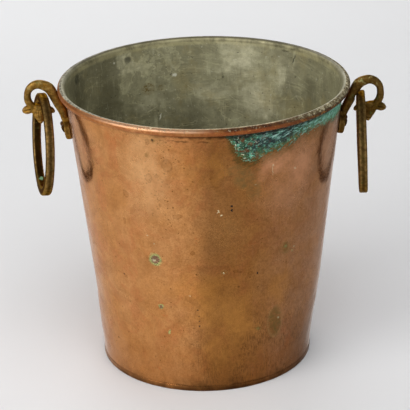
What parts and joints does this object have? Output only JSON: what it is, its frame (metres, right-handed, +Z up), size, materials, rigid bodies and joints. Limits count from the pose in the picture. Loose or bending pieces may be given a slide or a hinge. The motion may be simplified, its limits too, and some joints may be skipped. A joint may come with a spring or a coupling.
{
  "type": "pot with ring handles",
  "caption": "Tapered tin-lined copper pot with a wired rim, cast brass swan-neck hooks and hanging ring handles that swing.",
  "frame": {"origin": "on the floor, under the middle of the pot", "axes": "+X from the left hook to the right hook, -Y towards the front of the pot, +Z up"},
  "size_m": [0.3002, 0.2398, 0.2436],
  "materials": {
    "copper": "worn polish with brown and green patina, tinned inside",
    "iron": "drawn wire, hidden in the curl",
    "brass": "cast, dark golden brown",
    "rivet_copper": "dull brown"
  },
  "bodies": {
    "pot": {"wall": "copper", "base_pan": "copper", "rim_wire": "iron", "left_hook": "brass", "left_rivet_1": "rivet_copper", "left_rivet_2": "rivet_copper", "right_hook": "brass", "right_rivet_1": "rivet_copper", "right_rivet_2": "rivet_copper"},
    "left_ring": {"left_ring": "brass"},
    "right_ring": {"right_ring": "brass"}
  },
  "joints": [
    {"name": "left_ring_swing", "type": "hinge", "parent": "pot", "child": "left_ring", "pos_m": [-0.1318, 0, 0.22655], "axis": [-0.2147, 0.9767, 0], "range_deg": [-18, 198]},
    {"name": "right_ring_swing", "type": "hinge", "parent": "pot", "child": "right_ring", "pos_m": [0.1289, 0, 0.22275], "axis": [-0.0558, -0.9984, 0], "range_deg": [-16.5, 201]}
  ]
}
